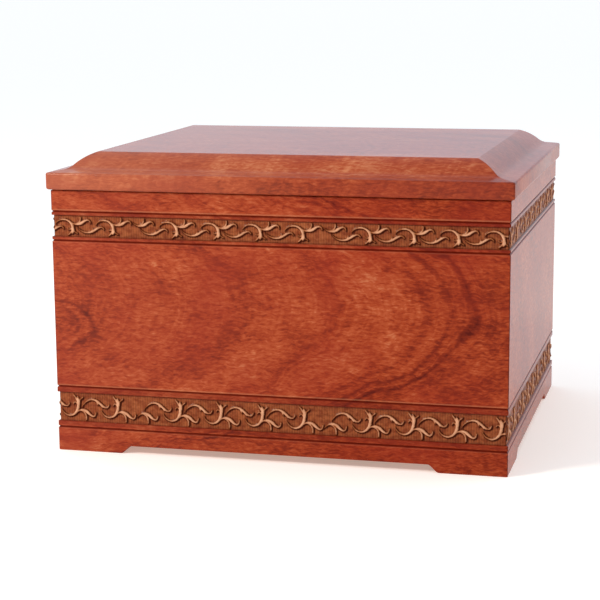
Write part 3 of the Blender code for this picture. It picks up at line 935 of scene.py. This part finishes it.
# A pinkish painted sheen on the lid, strongest toward its left end
lidPaintedSheen = {"reach": (-0.127, 0.02), "shares": (0.46, 0.10), "colour": "#B07058"}
lidShift = (0, 0, -lidHigh.z / mm)
lidWood = makeCherry("Stained cherry lid", 0, lidShift, lidHearts, 0.30, paintedSheen=lidPaintedSheen)
lid.data.materials.append(lidWood)
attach(lid, "root")
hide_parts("lid")
print("Moulded the lid:", len(lid.data.polygons), "faces")


# The bottom panel

panelForm = {
    "arris": 0.4 * mm,
    "dark": "#A9825A",
    "middle": "#C6A077",
    "pale": "#D6B48C",
    "figure": (18, 160, 1000),      # waves to a metre along the grain, across it and through the plies
    "roughness": 0.62,
    "grainDepth": 0.05 * mm,
    "grainStrength": 0.4,
}


def buildPanel():
    bm = bmesh.new()
    bmesh.ops.create_cube(bm, size=1.0)
    bmesh.ops.scale(bm, vec=panelHigh - panelLow, verts=bm.verts)
    bmesh.ops.translate(bm, vec=(panelLow + panelHigh) / 2, verts=bm.verts)
    bmesh.ops.bevel(
        bm, geom=bm.edges[:], offset=panelForm["arris"], segments=2, affect="EDGES", clamp_overlap=True,
    )
    mesh = bpy.data.meshes.new("plywoodBottom")
    bm.to_mesh(mesh)
    bm.free()
    panel = bpy.data.objects.new("plywoodBottom", mesh)
    bpy.context.scene.collection.objects.link(panel)
    return panel


# Birch plywood, rotary cut and pressed: pale broad wavy figure on its faces and thin plies at its edge
def makePlywood():
    material = bpy.data.materials.new("Birch plywood, pressed")
    material.use_nodes = True
    tree = material.node_tree
    shader = tree.nodes["Principled BSDF"]
    objectPlace = addNode(tree, "ShaderNodeTexCoord").outputs["Object"]
    form = panelForm
    place = addNode(tree, "ShaderNodeMapping", {"Vector": objectPlace, "Scale": form["figure"]})
    figure = addNode(
        tree, "ShaderNodeTexNoise", {"Vector": place, "Scale": 1.0, "Detail": 4.0, "Roughness": 0.6},
    )
    stops = [(0.3, form["dark"]), (0.5, form["middle"]), (0.7, form["pale"])]
    colour = addNode(tree, "ShaderNodeValToRGB", (figure,), stops=stops)
    tree.links.new(colour.outputs[0], shader.inputs["Base Color"])
    shader.inputs["Roughness"].default_value = form["roughness"]
    bump = addNode(
        tree, "ShaderNodeBump",
        {"Height": figure, "Distance": form["grainDepth"], "Strength": form["grainStrength"]},
    )
    tree.links.new(bump.outputs[0], shader.inputs["Normal"])
    return material


panel = buildPanel()
panel.data.materials.append(makePlywood())
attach(panel, "root")
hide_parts("bottom_panel")
print("Fitted the bottom panel")


# Camera, floor and light

cameraPlace = {
    "position": (0.2372, -0.9787, 0.2584),
    "yaw": math.radians(14.346),
    "pitch": math.radians(10.588),
    "roll": math.radians(-0.453),
    "lens": 104.18,
    "sensor": 36.0,
    "clipEnd": 100.0,
}
camera = bpy.data.cameras.new("camera")
camera.lens = cameraPlace["lens"]
camera.sensor_width = cameraPlace["sensor"]
camera.clip_end = cameraPlace["clipEnd"]
cameraObject = bpy.data.objects.new("camera", camera)
bpy.context.scene.collection.objects.link(cameraObject)
yaw = Matrix.Rotation(cameraPlace["yaw"], 4, "Z")
pitch = Matrix.Rotation(math.pi / 2 - cameraPlace["pitch"], 4, "X")
roll = Matrix.Rotation(cameraPlace["roll"], 4, "Z")
cameraObject.matrix_world = Matrix.Translation(cameraPlace["position"]) @ (yaw @ pitch) @ roll
bpy.context.scene.camera = cameraObject


paperFloor = {
    "halfSize": 30.0,
    "tooth": 900.0,         # grains to a metre
    "dark": "#EEEDEB",
    "pale": "#F1F0EE",
    "glow": "#FFF0E0",
    "glowStrength": 0.36,
    "roughness": 0.9,
    "specular": 0.2,
}


# Seamless paper lit from below: matt and white all over, so that the box's glossy sides mirror
# something bright
def makeFloor():
    look = paperFloor
    bm = bmesh.new()
    bmesh.ops.create_grid(bm, x_segments=1, y_segments=1, size=look["halfSize"])
    mesh = bpy.data.meshes.new("floor")
    bm.to_mesh(mesh)
    bm.free()
    floor = bpy.data.objects.new("floor", mesh)
    bpy.context.scene.collection.objects.link(floor)
    paper = bpy.data.materials.new("Seamless paper, lit from below")
    paper.use_nodes = True
    tree = paper.node_tree
    shader = tree.nodes["Principled BSDF"]
    objectPlace = addNode(tree, "ShaderNodeTexCoord").outputs["Object"]
    tooth = addNode(
        tree, "ShaderNodeTexNoise", {"Vector": objectPlace, "Scale": look["tooth"], "Detail": 2.0},
    )
    colour = addNode(tree, "ShaderNodeValToRGB", (tooth,), stops=[(0.3, look["dark"]), (0.7, look["pale"])])
    tree.links.new(colour.outputs[0], shader.inputs["Base Color"])
    shader.inputs["Roughness"].default_value = look["roughness"]
    shader.inputs["Specular IOR Level"].default_value = look["specular"]
    shader.inputs["Emission Color"].default_value = linear(look["glow"])
    shader.inputs["Emission Strength"].default_value = look["glowStrength"]
    mesh.materials.append(paper)
    return floor


makeFloor()

studio = {
    # Brightness low behind the box, low on the camera's side to its left and right, and overhead
    "behind": 1.18,
    "beforeLeft": 0.48,
    "beforeRight": 0.10,
    "above": 0.95,
    # Directions between which one gives way to the other, from left to right, front to back and up
    "acrossSpan": (-0.7, 0.7),
    "depthSpan": (-0.5, 0.4),
    "heightSpan": (0.25, 0.9),
    "skyColour": "#E4F1FF",
    "keyPower": 10.5,
    "keyPlace": (-0.75, -0.78, 0.76),
    "keySize": 0.24,
    "fillPower": 3.0,
    "fillPlace": (1.15, 0.30, 0.75),
    "fillSize": 0.70,
    "lampColour": "#FFF1E2",
    "target": (0.0, 0.0, 0.07),
}


def addSoftbox(name, power, size, position):
    light = bpy.data.lights.new(name, "AREA")
    light.shape = "SQUARE"
    light.size = size
    light.energy = power
    light.color = linear(studio["lampColour"])[:3]
    lamp = bpy.data.objects.new(name, light)
    lamp.location = position
    beam = Vector(studio["target"]) - Vector(position)
    lamp.rotation_euler = beam.to_track_quat("-Z", "Y").to_euler()
    bpy.context.scene.collection.objects.link(lamp)


# A studio that is bright overhead and behind the box and darker on the camera's side
def makeWorld():
    world = bpy.data.worlds.new("studio")
    world.use_nodes = True
    tree = world.node_tree
    direction = addNode(tree, "ShaderNodeTexCoord").outputs["Generated"]
    split = addNode(tree, "ShaderNodeSeparateXYZ", (direction,)).outputs
    before = addNode(
        tree, "ShaderNodeMapRange",
        (split["X"], *studio["acrossSpan"], studio["beforeLeft"], studio["beforeRight"]),
    )
    low = addNode(
        tree, "ShaderNodeMapRange", (split["Y"], *studio["depthSpan"], before, studio["behind"]),
        interpolation_type="SMOOTHSTEP",
    )
    strength = addNode(
        tree, "ShaderNodeMapRange", (split["Z"], *studio["heightSpan"], low, studio["above"]),
        interpolation_type="SMOOTHSTEP",
    )
    tree.links.new(strength.outputs[0], tree.nodes["Background"].inputs["Strength"])
    tree.nodes["Background"].inputs["Color"].default_value = linear(studio["skyColour"])
    bpy.context.scene.world = world


addSoftbox("key", studio["keyPower"], studio["keySize"], studio["keyPlace"])
addSoftbox("fill", studio["fillPower"], studio["fillSize"], studio["fillPlace"])
makeWorld()
bpy.context.scene.view_settings.view_transform = "Standard"
print("Set the camera and the light")
